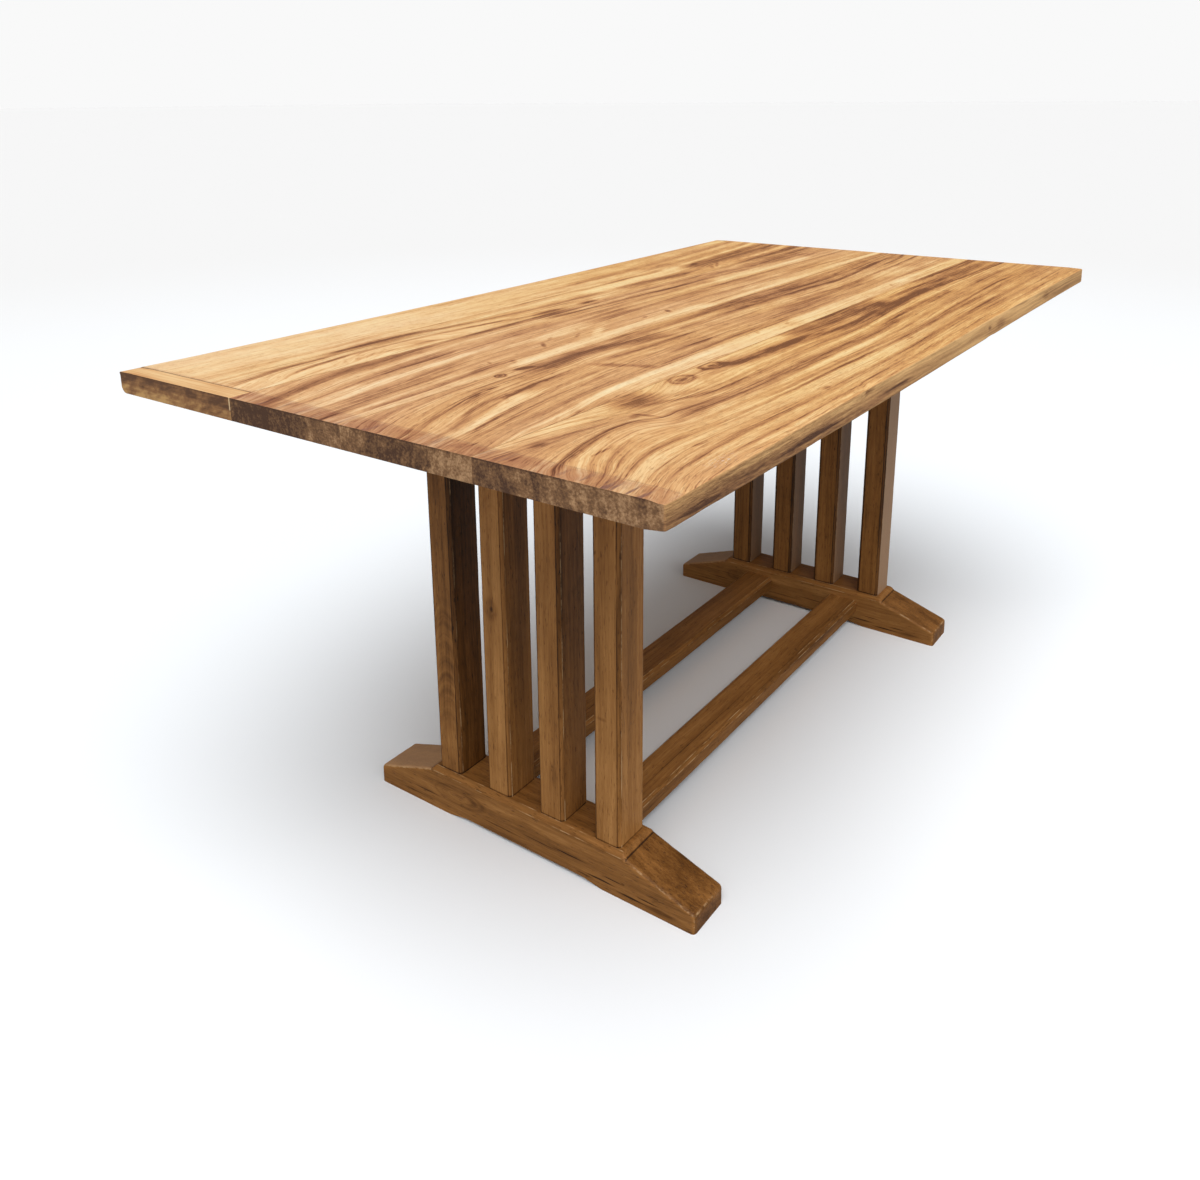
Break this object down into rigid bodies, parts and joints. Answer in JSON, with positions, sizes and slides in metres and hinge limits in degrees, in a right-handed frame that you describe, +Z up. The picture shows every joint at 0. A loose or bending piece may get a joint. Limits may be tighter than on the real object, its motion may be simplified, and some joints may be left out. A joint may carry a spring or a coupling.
{
  "type": "trestle dining table",
  "caption": "Oiled hardwood dining table: edge-jointed plank top with natural long edges on slatted trestles with sloped foot beams, joined low down by lengthwise stretchers.",
  "frame": {"origin": "on the floor, below the middle of the table top", "axes": "+X along the table towards the trestle that is farther away in the picture, +Y towards the long edge on the picture's left, +Z up"},
  "size_m": [1.65, 0.8839, 0.76],
  "materials": {
    "top_wood": "golden brown oiled hardwood with dark heartwood streaks, satin",
    "base_wood": "darker brown oiled hardwood, satin, worn along the arrises",
    "tongue_wood": "bare pale hardwood",
    "screw_steel": "zinc-plated steel"
  },
  "bodies": {
    "root": {"top_board_left_outer": "top_wood", "top_board_left_inner": "top_wood", "top_board_right_inner": "top_wood", "top_board_right_outer": "top_wood", "end_strip": "top_wood", "loose_tongue_left": "tongue_wood", "loose_tongue_middle": "tongue_wood", "loose_tongue_right": "tongue_wood", "end_strip_tongue": "tongue_wood", "near_foot": "base_wood", "far_foot": "base_wood", "near_leg_1": "base_wood", "near_leg_2": "base_wood", "near_leg_3": "base_wood", "near_leg_4": "base_wood", "far_leg_1": "base_wood", "far_leg_2": "base_wood", "far_leg_3": "base_wood", "far_leg_4": "base_wood", "near_bearer": "base_wood", "far_bearer": "base_wood", "left_stretcher": "base_wood", "right_stretcher": "base_wood", "top_screws": "screw_steel", "screw_washers": "screw_steel"}
  },
  "joints": []
}
